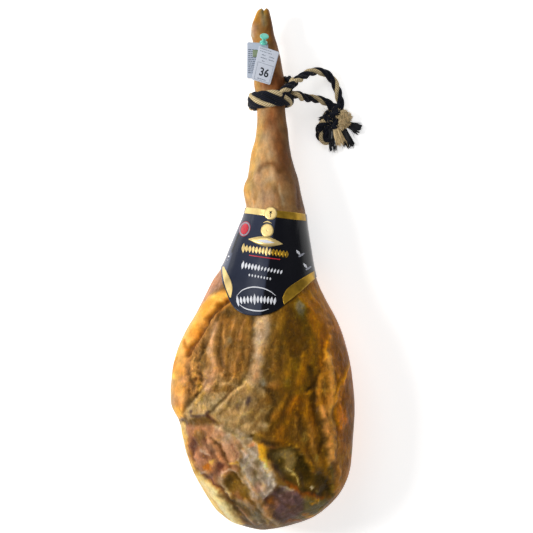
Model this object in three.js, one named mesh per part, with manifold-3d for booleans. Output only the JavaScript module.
// A bone-in cured ham, lying on its skin side, with its own label, tags, pin and hanging rope.
// Units: millimetres, +Z up. The shank points along +Y, the butt end along -Y, and the cut
// (lean) face looks up. The origin is the centre of the underside, on the resting plane.
import * as THREE from 'three';
import { mergeVertices } from 'three/addons/utils/BufferGeometryUtils.js';
import Module from 'manifold-3d';

const wasm = await Module();
wasm.setup();

// ------------------------------------------------------------------ driving dimensions
const HAM_LENGTH = 752;        // tip of the shank to the butt end
const HAM_WIDTH = 264;         // across the widest part of the leg
const HAM_THICKNESS = 148;     // resting face to the highest point of the lean side
const ROPE_D = 12;             // three-strand hanging rope
const SHANK_R = 21.5;          // radius of the shank where the rope holds it
const CARD_T = 0.8;            // label card
const TAG_T = 0.6;             // tag board
const GAP = 0.35;              // clearance kept between separate pieces
const NEEDLE_D = 1.2;          // steel needle of the push pin
const AROUND = 52;             // facets round the leg

// Plan outline of the leg: [y, left x, right x], butt end first.
const OUTLINE = [
  [-375.9, 0.7, 0.7],
  [-375.1, -7.3, 9.3],
  [-373.4, -18.1, 21.6],
  [-370.2, -30.3, 38.2],
  [-364.5, -45.5, 56.2],
  [-355.8, -57.0, 75.6],
  [-347.2, -66.5, 88.9],
  [-338.5, -73.0, 98.7],
  [-329.9, -78.6, 106.5],
  [-321.2, -83.8, 112.9],
  [-312.6, -88.7, 117.6],
  [-303.9, -93.6, 121.2],
  [-295.2, -98.0, 124.1],
  [-286.6, -101.4, 126.4],
  [-277.9, -104.6, 127.6],
  [-263.5, -109.5, 128.6],
  [-249.1, -113.0, 129.6],
  [-234.7, -115.9, 130.7],
  [-226.0, -117.9, 131.3],
  [-217.4, -121.0, 131.9],
  [-208.7, -125.9, 132.3],
  [-200.1, -130.0, 132.3],
  [-191.4, -131.7, 132.0],
  [-177.0, -131.9, 131.0],
  [-156.8, -130.3, 128.9],
  [-139.5, -127.4, 126.4],
  [-122.2, -123.1, 122.5],
  [-104.9, -116.7, 117.8],
  [-87.6, -108.1, 112.0],
  [-70.3, -97.7, 104.2],
  [-53.0, -88.7, 94.7],
  [-35.7, -80.1, 85.7],
  [-18.4, -71.4, 78.5],
  [-4.0, -61.3, 74.5],
  [7.6, -54.4, 72.2],
  [24.9, -47.2, 69.4],
  [42.2, -40.0, 66.7],
  [59.5, -32.5, 64.1],
  [73.9, -26.3, 62.7],
  [85.4, -23.6, 60.8],
  [94.1, -24.9, 58.6],
  [102.7, -26.7, 56.5],
  [111.4, -27.5, 54.6],
  [120.0, -25.9, 53.0],
  [128.7, -22.0, 51.1],
  [140.2, -19.7, 47.2],
  [154.7, -17.8, 43.1],
  [169.1, -15.2, 40.2],
  [183.5, -10.9, 38.0],
  [197.9, -9.0, 36.6],
  [215.2, -7.8, 33.8],
  [232.5, -8.1, 32.8],
  [249.8, -10.0, 33.8],
  [267.1, -12.6, 32.7],
  [284.4, -12.9, 29.1],
  [301.7, -11.7, 26.0],
  [316.2, -12.3, 22.9],
  [327.7, -14.2, 19.8],
  [336.3, -16.6, 17.1],
  [345.0, -16.4, 15.4],
  [353.7, -14.8, 13.9],
  [362.3, -11.0, 12.1],
  [368.1, -8.9, 10.6],
  [372.4, -6.3, 9.5],
  [374.7, -2.8, 7.3],
  [375.9, 2.1, 2.1],
];

// Side profile: [y, underside z, widest z, top z, roundness above, roundness below].
const PROFILE = [
  [-375.9, 54, 62, 72, 2.1, 2.1],
  [-374.8, 44, 62, 84, 2.1, 2.1],
  [-371.7, 34, 62, 94, 2.15, 2.15],
  [-365.9, 24, 62, 104, 2.2, 2.2],
  [-357.3, 15.5, 62, 113.5, 2.3, 2.2],
  [-344.3, 8, 62, 123.5, 2.4, 2.2],
  [-328.4, 2.5, 62, 132, 2.4, 2.2],
  [-306.8, -1.5, 62, 139.5, 2.45, 2.25],
  [-263.5, -3, 62, 145, 2.45, 2.25],
  [-205.8, -3.5, 63, 148, 2.45, 2.25],
  [-155.4, -3, 63, 147, 2.4, 2.25],
  [-112.1, -1, 62, 143, 2.35, 2.2],
  [-76.1, 3.5, 61, 137, 2.3, 2.15],
  [-40.0, 9, 60, 128, 2.25, 2.1],
  [-4.0, 14.5, 59, 119, 2.2, 2.1],
  [39.3, 20, 58, 110, 2.15, 2.1],
  [82.6, 24.5, 56, 102, 2.1, 2.1],
  [111.4, 26, 55.5, 97, 2.1, 2.1],
  [140.2, 27, 53, 90, 2.1, 2.1],
  [169.1, 28, 51, 83, 2.1, 2.1],
  [197.9, 28, 49.5, 77, 2.1, 2.1],
  [226.8, 27.5, 48.5, 71, 2.1, 2.1],
  [248.4, 27, 48, 69.5, 2.1, 2.1],
  [277.2, 25.5, 47, 69, 2.1, 2.1],
  [306.1, 24.5, 46, 67.5, 2.1, 2.1],
  [334.9, 25, 45, 64, 2.1, 2.1],
  [353.7, 26.5, 44.5, 61.5, 2.1, 2.1],
  [365.2, 28.3, 44.5, 59.6, 2.1, 2.1],
  [371.7, 31.5, 44.5, 57, 2.1, 2.1],
  [374.7, 36.5, 44.5, 52.5, 2.1, 2.1],
  [375.9, 42.5, 44.5, 46.5, 2.1, 2.1],
];

// Muscle folds and hollows of the lean side:
// ["line", 0, height, width, points] | ["blob", 0, height, x, y, rx, ry, degrees] | ["area", 0, height, edge, points]
const FORMS = [
  ["line", 0, 5.0, 10.1, [[-38.3, -32.8], [-68.6, -55.9], [-91.6, -83.3], [-107.5, -112.1], [-119.0, -145.3], [-121.9, -179.9]]],
  ["line", 0, -6.0, 5.2, [[-42.6, -44.3], [-62.8, -63.1], [-78.6, -86.2], [-90.2, -109.2], [-96.0, -133.7], [-94.5, -156.8]]],
  ["blob", 0, 4.0, -49.8, -113.6, 27.4, 46.1, 0],
  ["line", 0, -4.5, 4.3, [[-15.2, -70.3], [-14.5, -112.1], [-19.5, -145.3], [-32.5, -162.6], [-52.7, -174.1], [-70.0, -188.5]]],
  ["line", 0, 4.5, 10.8, [[0.7, -73.2], [-0.8, -112.1], [-3.7, -145.3], [-15.2, -171.2]]],
  ["blob", 0, -7.0, 38.2, -119.3, 28.8, 57.7, 0],
  ["line", 0, 7.0, 17.3, [[82.9, -83.3], [91.5, -126.5], [93.0, -177.0], [97.3, -220.3], [98.7, -263.5]]],
  ["line", 0, -5.5, 4.9, [[78.5, -109.2], [77.1, -145.3], [72.8, -179.9], [80.0, -217.4], [81.4, -256.3], [84.3, -280.8]]],
  ["area", 0, 5.0, 5.8, [[-136.3, -90.5], [-104.6, -90.5], [-44.0, -151.0], [-9.4, -151.0], [7.9, -174.1], [13.6, -197.2], [-0.8, -217.4], [-18.1, -234.7], [-38.3, -233.2], [-58.5, -218.8], [-72.9, -211.6], [-84.4, -213.1], [-101.7, -218.8], [-114.7, -221.0], [-124.8, -214.5], [-136.3, -208.7]]],
  ["line", 0, -5.0, 3.7, [[-124.8, -214.5], [-114.0, -222.4], [-101.7, -220.3], [-85.9, -215.9], [-72.9, -213.8], [-59.9, -220.3], [-48.4, -231.8]]],
  ["blob", 0, -13.0, 61.2, -286.6, 30.3, 34.6, 20],
  ["line", 0, 5.0, 9.4, [[107.4, -260.6], [113.1, -292.4], [103.0, -321.2]]],
  ["blob", 0, 4.5, -41.2, -253.4, 10.1, 26.0, 28],
  ["blob", 0, -3.0, -41.2, -308.2, 11.5, 21.6, 35],
  ["blob", 0, 5.0, -6.5, -286.6, 15.9, 37.5, 30],
  ["blob", 0, -4.0, 35.3, -334.2, 24.5, 18.7, 0],
  ["line", 0, -5.0, 4.6, [[-19.5, -234.7], [-6.5, -240.5], [6.4, -244.8], [19.4, -247.7], [33.8, -246.2]]],
  ["line", 0, -6.0, 3.7, [[3.5, -169.8], [13.6, -177.0], [16.5, -187.1], [13.6, -198.6]]],
  ["line", 0, 3.5, 8.7, [[-94.5, -298.1], [-75.8, -327.0], [-57.0, -348.6], [-38.3, -364.5]]],
  ["line", 0, -3.5, 4.0, [[-91.6, -289.5], [-71.4, -315.4], [-51.2, -340.0], [-35.4, -358.7]]],
];

// ------------------------------------------------------------------ small helpers
const clamp = (v, a, b) => Math.min(b, Math.max(a, v));
const smooth = (a, b, v) => { const t = clamp((v - a) / (b - a), 0, 1); return t * t * (3 - 2 * t); };

// Monotone cubic through table rows; rows are sorted from low y to high y.
function table(rows, col) {
  const x = rows.map((r) => r[0]), y = rows.map((r) => r[col]), n = x.length;
  const d = [], m = new Array(n).fill(0);
  for (let i = 0; i < n - 1; i++) d.push((y[i + 1] - y[i]) / (x[i + 1] - x[i]));
  for (let i = 1; i < n - 1; i++) {
    if (d[i - 1] * d[i] > 0) m[i] = 2 * d[i - 1] * d[i] / (d[i - 1] + d[i]);
  }
  m[0] = d[0]; m[n - 1] = d[n - 2];
  return (q) => {
    const t = clamp(q, x[0], x[n - 1]);
    let i = 0;
    while (i < n - 2 && t > x[i + 1]) i++;
    const h = x[i + 1] - x[i], u = (t - x[i]) / h;
    const a = 2 * u ** 3 - 3 * u ** 2 + 1, b = u ** 3 - 2 * u ** 2 + u, c = -2 * u ** 3 + 3 * u ** 2, e = u ** 3 - u ** 2;
    return a * y[i] + b * h * m[i] + c * y[i + 1] + e * h * m[i + 1];
  };
}
const outline = OUTLINE.slice().sort((a, b) => a[0] - b[0]);
const profile = PROFILE.slice().sort((a, b) => a[0] - b[0]);
const xl = table(outline, 1), xr = table(outline, 2);
const zb = table(profile, 1), zw = table(profile, 2), zt = table(profile, 3), nt = table(profile, 4), nb = table(profile, 5);
const Y0 = outline[0][0], Y1 = outline[outline.length - 1][0];

// A point of the plain leg surface: y along, a = angle round (0 = right edge, 90 = top).
function skin(y, a, grow = 0) {
  const c = Math.cos(a), s = Math.sin(a), up = s >= 0;
  const n = up ? nt(y) : nb(y), p = 2 / n;
  const rx = (xr(y) - xl(y)) / 2 + grow, cx = (xr(y) + xl(y)) / 2;
  const rz = (up ? zt(y) - zw(y) : zw(y) - zb(y)) + grow;
  return [cx + rx * Math.sign(c) * Math.abs(c) ** p, y, zw(y) + rz * Math.sign(s) * Math.abs(s) ** p];
}
function nearLine(pts, x, y) {
  let best = 1e9;
  for (let i = 0; i < pts.length - 1; i++) {
    const [ax, ay] = pts[i], [bx, by] = pts[i + 1];
    const dx = bx - ax, dy = by - ay, t = clamp(((x - ax) * dx + (y - ay) * dy) / (dx * dx + dy * dy), 0, 1);
    best = Math.min(best, Math.hypot(x - ax - t * dx, y - ay - t * dy));
  }
  return best;
}
function inside(pts, x, y) {
  let k = false;
  for (let i = 0, j = pts.length - 1; i < pts.length; j = i++) {
    const [ax, ay] = pts[i], [bx, by] = pts[j];
    if ((ay > y) !== (by > y) && x < (bx - ax) * (y - ay) / (by - ay) + ax) k = !k;
  }
  return k;
}
function relief(x, y) {
  let h = 0;
  for (const f of FORMS) {
    if (f[0] === 'line') {
      const w = Math.max(f[3], 8), d = nearLine(f[4], x, y);
      h += f[2] * Math.min(1, f[3] / w + 0.25) * Math.exp(-(d * d) / (w * w));
    } else if (f[0] === 'blob') {
      const t = f[7] * Math.PI / 180, dx = x - f[3], dy = y - f[4];
      const u = (dx * Math.cos(t) - dy * Math.sin(t)) / f[5], v = (dx * Math.sin(t) + dy * Math.cos(t)) / f[6];
      h += f[2] * Math.exp(-(u * u + v * v));
    } else {
      const d = nearLine(f[4].concat([f[4][0]]), x, y) * (inside(f[4], x, y) ? 1 : -1);
      h += f[2] * smooth(-f[3], f[3], d);
    }
  }
  return h;
}

function closedMesh(positions, index) {
  const g = new THREE.BufferGeometry();
  g.setAttribute('position', new THREE.Float32BufferAttribute(positions, 3));
  g.setIndex(index);
  g.computeVertexNormals();
  return g;
}
// Grid of rings (each ring a closed list of points), capped with a fan at both ends.
function loft(rings) {
  const n = rings[0].length, pos = [], idx = [];
  for (const r of rings) for (const p of r) pos.push(...p);
  for (let i = 0; i < rings.length - 1; i++) {
    for (let j = 0; j < n; j++) {
      const a = i * n + j, b = i * n + (j + 1) % n, c = a + n, d = b + n;
      idx.push(a, c, b, b, c, d);
    }
  }
  const mid = (r) => r.reduce((s, p) => [s[0] + p[0] / n, s[1] + p[1] / n, s[2] + p[2] / n], [0, 0, 0]);
  const s0 = pos.length / 3; pos.push(...mid(rings[0]));
  const s1 = pos.length / 3; pos.push(...mid(rings[rings.length - 1]));
  const o = (rings.length - 1) * n;
  for (let j = 0; j < n; j++) {
    const k = (j + 1) % n;
    idx.push(s0, j, k, s1, o + k, o + j);
  }
  return closedMesh(pos, idx);
}
function volume(g) {
  const p = g.attributes.position, ix = g.index;
  let v = 0;
  const a = new THREE.Vector3(), b = new THREE.Vector3(), c = new THREE.Vector3();
  for (let i = 0; i < ix.count; i += 3) {
    a.fromBufferAttribute(p, ix.getX(i)); b.fromBufferAttribute(p, ix.getX(i + 1)); c.fromBufferAttribute(p, ix.getX(i + 2));
    v += a.dot(b.clone().cross(c)) / 6;
  }
  return v;
}
function outward(g) {
  if (volume(g) < 0) {
    const ix = g.index.array;
    for (let i = 0; i < ix.length; i += 3) [ix[i + 1], ix[i + 2]] = [ix[i + 2], ix[i + 1]];
  }
  return g;
}
function solid(geometry) {
  let g = geometry.clone();
  g.deleteAttribute('normal'); g.deleteAttribute('uv');
  g = outward(mergeVertices(g, 1e-4));
  return new wasm.Manifold(new wasm.Mesh({
    numProp: 3,
    vertProperties: new Float32Array(g.attributes.position.array),
    triVerts: new Uint32Array(g.index.array),
  }));
}
function geometryOf(m) {
  const q = m.getMesh();
  return closedMesh(Array.from(q.vertProperties), Array.from(q.triVerts));
}
function put(geometry, matrix) { const g = geometry.clone(); g.applyMatrix4(matrix); return g; }

// Round bar along a curve, with a section of 8 to 12 sides.
function bar(points, r, sides, steps, closed = false) {
  const curve = new THREE.CatmullRomCurve3(points.map((p) => new THREE.Vector3(...p)), closed, 'centripetal');
  const sh = new THREE.Shape();
  for (let i = 0; i < sides; i++) {
    const t = 2 * Math.PI * (i + 0.5) / sides;
    if (i) sh.lineTo(r * Math.cos(t), r * Math.sin(t)); else sh.moveTo(r * Math.cos(t), r * Math.sin(t));
  }
  return new THREE.ExtrudeGeometry(sh, { steps, curveSegments: 1, bevelEnabled: false, extrudePath: curve });
}
function lump(x, y, z, rx, ry, rz, deg = 0, w = 12, h = 7) {
  const m = new THREE.Matrix4().makeTranslation(x, y, z)
    .multiply(new THREE.Matrix4().makeRotationZ(deg * Math.PI / 180)).multiply(new THREE.Matrix4().makeScale(rx, ry, rz));
  return put(new THREE.SphereGeometry(1, w, h), m);
}

// ------------------------------------------------------------------ the leg, grown as one piece
function legGeometry() {
  const ys = outline.map((r) => r[0]);
  const rings = [];
  for (const y of ys) {
    const ring = [];
    for (let j = 0; j < AROUND; j++) {
      const a = 2 * Math.PI * j / AROUND;
      const p = skin(y, a);
      const e = 0.02, q1 = skin(y, a + e), q0 = skin(y, a - e);
      const tx = q1[0] - q0[0], tz = q1[2] - q0[2], l = Math.hypot(tx, tz) || 1;
      const nx = tz / l, nz = -tx / l;                      // outward normal in the section
      const end = smooth(Y0, Y0 + 18, y);
      const up = smooth(0.05, 0.55, nz) * end;
      const h = up > 0 ? relief(p[0], p[1]) * up * (1 - labelCover(p[0], p[1])) : 0;
      ring.push([p[0] + nx * h, p[1], p[2] + nz * h]);
    }
    rings.push(ring);
  }
  return outward(loft(rings));
}
// 1 under the label, 0 away from it: the leg is smooth where the card lies on it.
function labelCover(x, y) { return smooth(-93.4, -74.6, y) * (1 - smooth(79.7, 97.0, y)); }

// ------------------------------------------------------------------ label card wrapped round the leg
// Edges as [s, y] with s from -1 (left edge of the leg) through 0 (top) to 1 (right edge), then the underside.
const LABEL_TOP = [[-1, 85.6], [0, 80.2], [1, 76.1]];
const LABEL_BOTTOM = [[-1, 1.1], [-0.812, -14.1], [-0.677, -28.5], [-0.569, -41.3], [-0.49, -50.4], [-0.407, -58.2], [-0.315, -63.7], [-0.219, -66.7], [-0.127, -67.7], [-0.047, -67.1], [0.056, -64.5], [0.151, -60.3], [0.288, -51.8], [0.443, -41.9], [0.611, -32.2], [0.801, -22.1], [1, -13.3]];
const LABEL_UNDER = [[-1, 1.1], [-0.5, 6.1], [0, 6.1], [0.5, -1.1], [1, -13.3]];
function edgeY(tab, s) {
  for (let i = 0; i < tab.length - 1; i++) {
    if (s <= tab[i + 1][0]) { const t = (s - tab[i][0]) / (tab[i + 1][0] - tab[i][0]); return tab[i][1] + t * (tab[i + 1][1] - tab[i][1]); }
  }
  return tab[tab.length - 1][1];
}
function labelGeometry() {
  const NA = 46, NS = 8, pos = [], idx = [];
  const at = (j, k, grow) => {
    const a = 2 * Math.PI * j / NA, c = Math.cos(a);
    const s = Math.sign(c) * Math.abs(c) ** (2 / 2.1), top = Math.sin(a) >= 0;
    const yt = edgeY(LABEL_TOP, s), yb = top ? edgeY(LABEL_BOTTOM, s) : edgeY(LABEL_UNDER, s);
    return skin(yt + (yb - yt) * k / NS, a, grow);
  };
  const IN = 1.3, OUT = IN + CARD_T;
  for (let j = 0; j < NA; j++) for (let k = 0; k <= NS; k++) { pos.push(...at(j, k, IN)); pos.push(...at(j, k, OUT)); }
  const v = (j, k, o) => (((j + NA) % NA) * (NS + 1) + k) * 2 + o;
  for (let j = 0; j < NA; j++) {
    for (let k = 0; k < NS; k++) {
      idx.push(v(j, k, 1), v(j, k + 1, 1), v(j + 1, k, 1), v(j + 1, k, 1), v(j, k + 1, 1), v(j + 1, k + 1, 1));
      idx.push(v(j, k, 0), v(j + 1, k, 0), v(j, k + 1, 0), v(j + 1, k, 0), v(j + 1, k + 1, 0), v(j, k + 1, 0));
    }
    idx.push(v(j, 0, 0), v(j, 0, 1), v(j + 1, 0, 0), v(j + 1, 0, 0), v(j, 0, 1), v(j + 1, 0, 1));
    idx.push(v(j, NS, 0), v(j + 1, NS, 0), v(j, NS, 1), v(j + 1, NS, 0), v(j + 1, NS, 1), v(j, NS, 1));
  }
  return outward(closedMesh(pos, idx));
}

// ------------------------------------------------------------------ push pin through both tags
const PIN_ENTRY = [0.5, 315.3, 67.6];                    // where the needle meets the shank
const PIN_DIR = new THREE.Vector3(2.2, 15.5, 15.5).normalize();
const PIN_Q = new THREE.Quaternion().setFromUnitVectors(new THREE.Vector3(0, 1, 0), PIN_DIR);
const pinMatrix = new THREE.Matrix4().compose(new THREE.Vector3(...PIN_ENTRY), PIN_Q, new THREE.Vector3(1, 1, 1));
const turned = (pts, n = 14) => put(new THREE.LatheGeometry(pts.map((p) => new THREE.Vector2(...p)), n), pinMatrix);
const drill = (d) => turned([[0, -14], [d / 2, -14], [d / 2, 16], [0, 16]], 8);

const pinNeedle = turned([[0, -11], [0.25, -10], [NEEDLE_D / 2, -8], [NEEDLE_D / 2, 8.0], [0, 8.0]], 10);
const pinHead = turned([[0, 8.35], [4.9, 8.35], [5.5, 9.0], [5.5, 10.2], [4.7, 10.9], [3.1, 11.6], [2.7, 14], [2.9, 17.5], [4.4, 18.9],
  [6.1, 19.6], [6.3, 20.6], [6.0, 21.6], [4.6, 22.0], [0, 22.0]], 14);

// ------------------------------------------------------------------ tags
function tag(corners, z, thickness, rise) {
  // corners in plan, in order; the board lies on the shank and is slightly higher at its free end
  const cx = corners.reduce((s, p) => s + p[0] / 4, 0), cy = corners.reduce((s, p) => s + p[1] / 4, 0);
  const sh = new THREE.Shape();
  const n = 4, r = 2.2;
  for (let i = 0; i < n; i++) {
    const p = corners[i], a = corners[(i + n - 1) % n], b = corners[(i + 1) % n];
    const la = Math.hypot(a[0] - p[0], a[1] - p[1]), lb = Math.hypot(b[0] - p[0], b[1] - p[1]);
    const p0 = [p[0] + (a[0] - p[0]) * r / la - cx, p[1] + (a[1] - p[1]) * r / la - cy];
    const p1 = [p[0] + (b[0] - p[0]) * r / lb - cx, p[1] + (b[1] - p[1]) * r / lb - cy];
    if (i) sh.lineTo(...p0); else sh.moveTo(...p0);
    sh.quadraticCurveTo(p[0] - cx, p[1] - cy, ...p1);
  }
  const g = new THREE.ExtrudeGeometry(sh, { depth: thickness, bevelEnabled: false, curveSegments: 3 });
  return put(g, new THREE.Matrix4().makeTranslation(cx, cy, z).multiply(new THREE.Matrix4().makeRotationX(rise)));
}
const TAG_BACK = [[-22.3, 324.5], [8.2, 322.5], [6.3, 270.6], [-22.3, 272.5]];
const TAG_FRONT = [[-4.8, 319.6], [24.2, 310.0], [10.6, 262.9], [-15.9, 271.0]];
const TAG_BACK_Z = 70.4, TAG_FRONT_Z = 71.5, TAG_SLOPE = 0.0;

// ------------------------------------------------------------------ rope
const WRAP_Y = 241.9, WRAP_X = 11.8, WRAP_Z = 48.6;       // centre of the doubled turn round the shank
const WRAP_W = 24.6;                                     // two rope diameters side by side
const WRAP_T = 10.4;                                     // pulled tight, so a little flattened
function wrapGeometry() {
  const N = 28, S = 10, pos = [], idx = [];
  const rx = 21.45 + GAP + 0.35, rz = 21.45 + GAP + 0.35;
  for (let i = 0; i < N; i++) {
    const a = 2 * Math.PI * i / N, ca = Math.cos(a), sa = Math.sin(a);
    const tilt = 0.0 + 2.2 * ca;
    for (let k = 0; k < S; k++) {
      const t = 2 * Math.PI * (k + 0.5) / S, ct = Math.cos(t), st = Math.sin(t);
      const h = (WRAP_W / 2 + -0.6 * ca) * Math.sign(ct) * Math.abs(ct) ** 0.8;
      const w = WRAP_T / 2 * (1 + Math.sign(st) * Math.abs(st) ** 0.8);
      pos.push(WRAP_X + (rx + w) * ca, WRAP_Y + tilt + h, WRAP_Z + (rz + w) * sa);
    }
  }
  for (let i = 0; i < N; i++) for (let k = 0; k < S; k++) {
    const a = i * S + k, b = ((i + 1) % N) * S + k, c = i * S + (k + 1) % S, d = ((i + 1) % N) * S + (k + 1) % S;
    idx.push(a, b, c, c, b, d);
  }
  return outward(closedMesh(pos, idx));
}
const HITCH = [[37.3, 259.1, 62, 9.0, 7.6, 9.5, 20], [38.4, 268.9, 52, 7.0, 9.0, 8.0, -25], [41.8, 252.0, 57, 7.5, 8.0, 8.0, 0]];                   // the bight that crosses the turns: lumps [x, y, z, rx, ry, rz, degrees]
const UPPER_LEG = [[47.5, 267.7, 60.0], [53.6, 273.2, 49.3], [62.2, 278.8, 37.6], [71.3, 282.1, 28.3], [80.7, 282.7, 20.8], [89.1, 280.1, 15.2], [96.7, 275.2, 10.9], [102.2, 268.3, 8.1], [106.2, 259.9, 6.6], [109.1, 250.7, 6.4], [111.4, 241.2, 6.4], [112.3, 234.3, 6.4], [112.1, 227.9, 6.4]];
const LOWER_LEG = [[50.0, 249.0, 54.0], [59.4, 246.1, 40.9], [69.9, 243.8, 29.0], [80.8, 242.0, 19.5], [90.1, 239.7, 13.3], [96.4, 235.4, 9.8], [98.7, 227.9, 7.5]];
const KNOT = [103.8, 211.6, 14.5, 15.5, 17.0, 14.5, 0];
const CURL = [[98.7, 213.1, 12], [90.8, 209.7, 10.5], [83.7, 203.7, 8.5], [81.1, 195.0, 6.6], [84.3, 186.7, 6.4], [90.8, 181.8, 6.6], [96.6, 184.9, 8.5]];
const TUFTS = [["tuft_dark_left", [97.3, 218.8, 12], [82.3, 212.6, 7], 5.0, 3.6, 0.9, "dark"], ["tuft_cream_ball", [114.6, 214.5, 11], [128.3, 211.8, 10], 8.0, 10.0, 1.0, "cream"], ["tuft_dark_right", [118.9, 205.1, 9], [142.0, 195.6, 5], 4.0, 8.6, 0.6, "dark"], ["tuft_dark_lower", [113.1, 200.8, 9], [127.3, 168.6, 6.0], 4.5, 7.2, 0.8, "dark"], ["tuft_cream_lower", [104.5, 203.7, 11], [114.3, 173.4, 7.0], 6.0, 7.4, 0.85, "cream"], ["tuft_dark_bottom", [98.7, 199.4, 8], [102.2, 165.3, 5.0], 4.5, 5.4, 0.85, "dark"]];                   // name, root point, tip point, root radius, tip radius, height factor, colour

function tuft([, p, q, r0, r1, flat]) {
  // a frayed end as one plain tapered body with a rounded tip, lying on the resting plane
  const dx = q[0] - p[0], dy = q[1] - p[1], L = Math.hypot(dx, dy), ux = dx / L, uy = dy / L;
  const rings = [];
  for (let i = 0; i <= 5; i++) {
    const t = i / 5, s = t * t * (3 - 2 * t);
    const r = (r0 + (r1 - r0) * s) * Math.sqrt(clamp(1 - ((t - 0.45) / 0.62) ** 4, 0.12, 1));
    const z = p[2] + (q[2] - p[2]) * t;
    const ring = [];
    for (let k = 0; k < 8; k++) {
      const a = 2 * Math.PI * (k + 0.5) / 8;
      ring.push([p[0] + dx * t - uy * r * Math.cos(a), p[1] + dy * t + ux * r * Math.cos(a), Math.max(0.15, z + r * flat * Math.sin(a))]);
    }
    rings.push(ring);
  }
  return outward(loft(rings));
}

// ------------------------------------------------------------------ assembly
const mat = (color, roughness, metalness = 0) => new THREE.MeshStandardMaterial({ color, roughness, metalness });
const HAM = mat('#b07a35', 0.55), CARD = mat('#10141f', 0.35), BOARD = mat('#e6e8ec', 0.7), BOARD_GREY = mat('#c3c9d2', 0.7);
const TEAL = mat('#4cc3a8', 0.3), STEEL = mat('#b8bcc2', 0.3, 1), DARK = mat('#11141f', 0.9), CREAM = mat('#c9b78c', 0.9), ROPE = mat('#5a5244', 0.9);

const part = new THREE.Group();
function add(name, geometry, material) {
  const m = new THREE.Mesh(geometry, material);
  m.name = name;
  part.add(m);
  return m;
}

// leg: cut flat where it rests, with the needle's hole
const slab = put(new THREE.BoxGeometry(600, 1000, 400), new THREE.Matrix4().makeTranslation(0, 0, 200));
const leg = solid(legGeometry()).intersect(solid(slab)).subtract(solid(drill(NEEDLE_D + 0.8)));
add('ham', geometryOf(leg), HAM);
add('label_wrap', labelGeometry(), CARD);
add('tag_back', geometryOf(solid(tag(TAG_BACK, TAG_BACK_Z, TAG_T, TAG_SLOPE)).subtract(solid(drill(NEEDLE_D + 1.0)))), BOARD_GREY);
add('tag_front', geometryOf(solid(tag(TAG_FRONT, TAG_FRONT_Z, TAG_T, TAG_SLOPE)).subtract(solid(drill(NEEDLE_D + 1.0)))), BOARD);
add('pin_needle', geometryOf(solid(pinNeedle)), STEEL);
add('push_pin_head', geometryOf(solid(pinHead)), TEAL);

// rope: doubled turn round the shank with its hitch, two free legs, the knot and its frayed ends
let wrap = solid(wrapGeometry());
for (const h of HITCH) wrap = wrap.add(solid(lump(...h)));
const sleeve = [];
for (let y = WRAP_Y - 45; y <= WRAP_Y + 45; y += 5) {
  sleeve.push(Array.from({ length: 48 }, (_, j) => skin(y, 2 * Math.PI * j / 48, 0.55)));
}
const clearLeg = solid(outward(loft(sleeve)));
wrap = wrap.subtract(clearLeg);
const upper = bar(UPPER_LEG, ROPE_D / 2, 10, 14), lower = bar(LOWER_LEG, ROPE_D / 2, 10, 9);
const fatUpper = bar(UPPER_LEG, ROPE_D / 2 + 0.5, 10, 14), fatLower = bar(LOWER_LEG, ROPE_D / 2 + 0.5, 10, 9);
wrap = wrap.subtract(solid(fatUpper)).subtract(solid(fatLower));
add('rope_wrap', geometryOf(wrap), ROPE);
add('rope_leg_upper', geometryOf(solid(upper)), ROPE);
add('rope_leg_lower', geometryOf(solid(lower).subtract(solid(fatUpper))), ROPE);
const floor = solid(put(new THREE.BoxGeometry(900, 1400, 400), new THREE.Matrix4().makeTranslation(0, 0, 200.1)));
let knot = solid(lump(...KNOT, 16, 9)).add(solid(bar(CURL, ROPE_D / 2, 10, 10)));
knot = knot.intersect(floor).subtract(solid(fatUpper)).subtract(solid(fatLower));
add('rope_knot', geometryOf(knot), ROPE);
const fatKnot = solid(lump(KNOT[0], KNOT[1], KNOT[2], KNOT[3] + 0.5, KNOT[4] + 0.5, KNOT[5] + 0.5, KNOT[6], 16, 9))
  .add(solid(bar(CURL, ROPE_D / 2 + 0.5, 10, 10)));
const made = [];
for (const t of TUFTS) {
  let s = solid(tuft(t)).subtract(fatKnot).subtract(solid(fatUpper)).subtract(solid(fatLower));
  for (const m of made) s = s.subtract(m);
  const bodies = s.decompose().sort((a, b) => b.volume() - a.volume());
  s = bodies[0];
  add(t[0], geometryOf(s), t[6] === 'cream' ? CREAM : DARK);
  const [n, p, q, r0, r1, f] = t;
  made.push(solid(tuft([n, p, q, r0 + 0.4, r1 + 0.4, f * 1.06])));
}

export default part;
